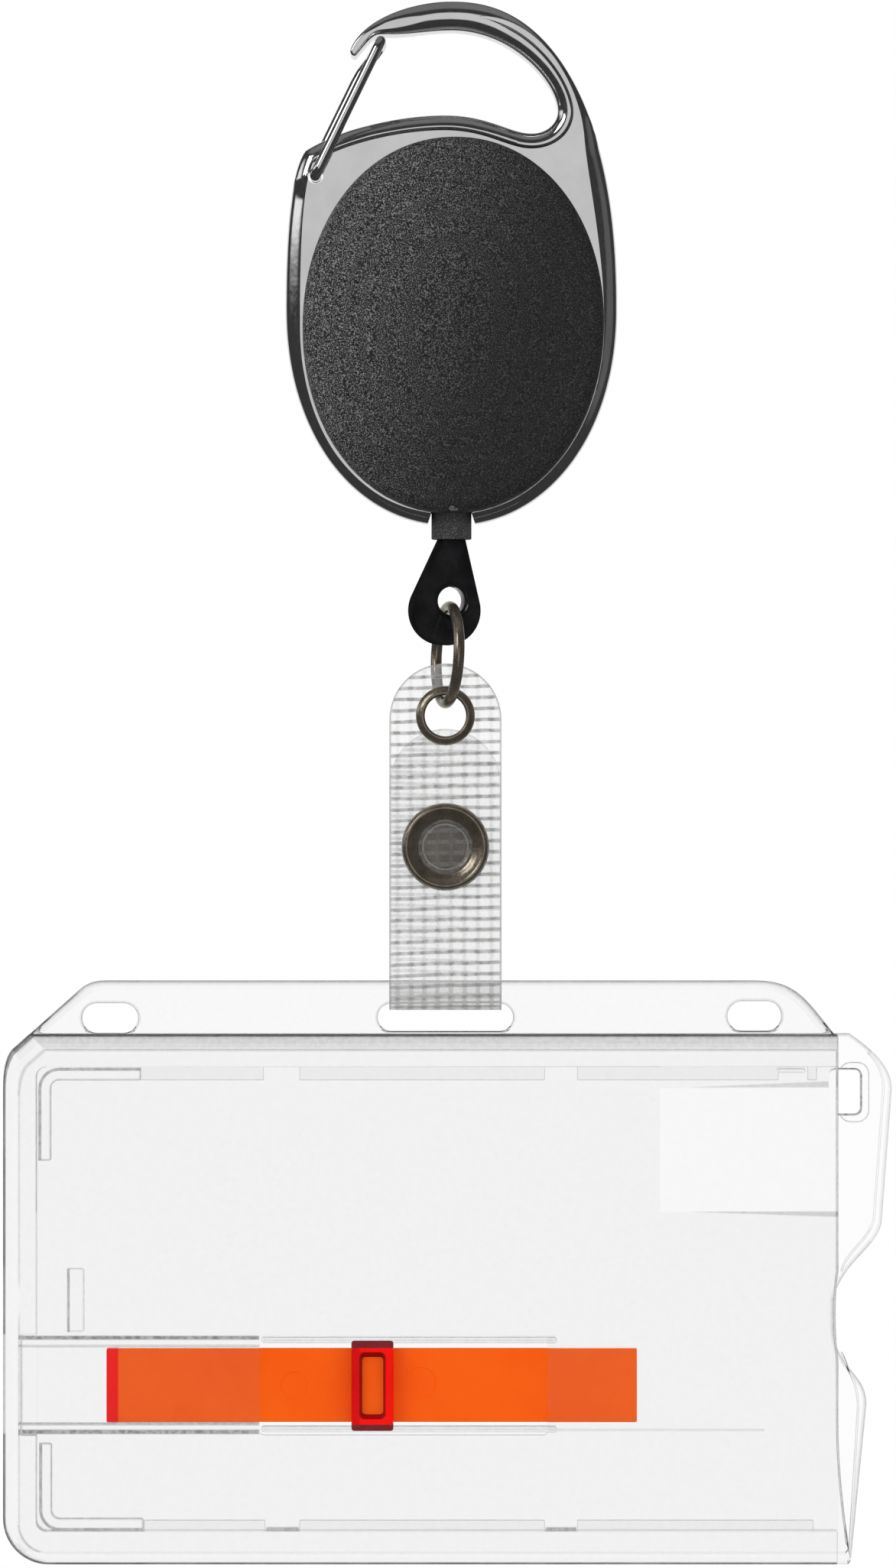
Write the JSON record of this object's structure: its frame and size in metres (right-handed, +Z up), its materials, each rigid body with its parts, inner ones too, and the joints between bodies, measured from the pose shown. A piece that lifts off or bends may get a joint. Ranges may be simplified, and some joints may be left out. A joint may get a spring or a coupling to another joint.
{
  "type": "retractable badge reel",
  "caption": "Retractable badge reel with a carabiner frame and wire gate, a sprung cord, a ring, a snap strap and a rigid card holder with an ejector slide.",
  "frame": {"origin": "the point inside the carabiner hook that bears on whatever the reel hangs from", "axes": "+Z up along the hanging line, +Y towards the back of the reel and of the holder, -Y the front, X along the holder's long side"},
  "size_m": [0.1048, 0.0127, 0.1839],
  "materials": {
    "chrome": "bright chrome plate",
    "black_grain": "fine moulded grain",
    "black_gloss": "polished",
    "gunmetal": "dark bright plate",
    "spring_steel": "plain steel",
    "white_plastic": "as moulded",
    "cord": "braided",
    "vinyl": "clear vinyl with a mesh inside",
    "clear": "frosted clear",
    "orange": "translucent orange"
  },
  "bodies": {
    "reel": {"carabiner_frame": "chrome", "front_cover": "black_grain", "back_cover": "black_grain", "axle_post": "spring_steel", "cord_guide": "black_grain", "cord_lead": "cord", "power_spring": "spring_steel"},
    "gate": {"wire_gate": "chrome"},
    "spool": {"spool": "white_plastic", "spring_cover": "white_plastic", "cord_inner_layers": "cord", "cord_winding": "cord"},
    "cord_end": {"cord_tail": "cord", "cord_knot": "cord"},
    "drop": {"cord_drop": "black_gloss"},
    "ring": {"jump_ring": "gunmetal"},
    "strap": {"strap_front": "vinyl", "eyelet": "gunmetal", "eyelet_washer": "gunmetal", "snap_front_ring": "gunmetal", "snap_socket": "gunmetal"},
    "flap": {"strap_flap": "vinyl", "snap_stud": "gunmetal", "snap_back_ring": "gunmetal"},
    "holder": {"holder_back": "clear", "holder_front": "clear"},
    "ejector": {"ejector_slide": "orange"}
  },
  "joints": [
    {"name": "gate_swing", "type": "hinge", "parent": "reel", "child": "gate", "pos_m": [-0.016, 0, -0.0171], "axis": [0, 1, 0], "range_deg": [0, 35], "stiffness_Nm_per_rad": 0.04, "springref_deg": -20.05},
    {"name": "cord_pull", "type": "slide", "parent": "reel", "child": "cord_end", "axis": [0, 0, -1], "range_m": [0, 0.8], "stiffness_N_per_m": 0.5, "springref_m": -1.8, "deforming": ["cord_tail"]},
    {"name": "spool_spin", "type": "hinge", "parent": "reel", "child": "spool", "pos_m": [0, 0, -0.0347], "axis": [0, 1, 0], "range_deg": [0, 3930], "deforming": ["power_spring"]},
    {"name": "drop_swivel", "type": "hinge", "parent": "cord_end", "child": "drop", "pos_m": [0, 0, -0.0602], "axis": [0.1045, 0, 0.9945], "continuous": true},
    {"name": "ring_swing", "type": "hinge", "parent": "drop", "child": "ring", "pos_m": [-0.00071, 0, -0.07337], "axis": [0.9724, 0.2334, 0], "range_deg": [-40, 40]},
    {"name": "strap_swing", "type": "hinge", "parent": "ring", "child": "strap", "pos_m": [-0.00071, 0, -0.07905], "axis": [0, 1, 0], "range_deg": [-30, 30]},
    {"name": "flap_open", "type": "hinge", "parent": "strap", "child": "flap", "pos_m": [-0.00071, 0.00258, -0.10965], "axis": [-1, 0, 0], "range_deg": [0, 65]},
    {"name": "holder_swing", "type": "hinge", "parent": "strap", "child": "holder", "pos_m": [-0.00071, 0, -0.11265], "axis": [-1, 0, 0], "range_deg": [-60, 60]},
    {"name": "slide_travel", "type": "slide", "parent": "holder", "child": "ejector", "axis": [1, 0, 0], "range_m": [-0.0099, 0.0178]}
  ],
  "couplings": [
    {"joint": "spool_spin", "follows": "cord_pull", "rad_per_m": 85.47}
  ]
}
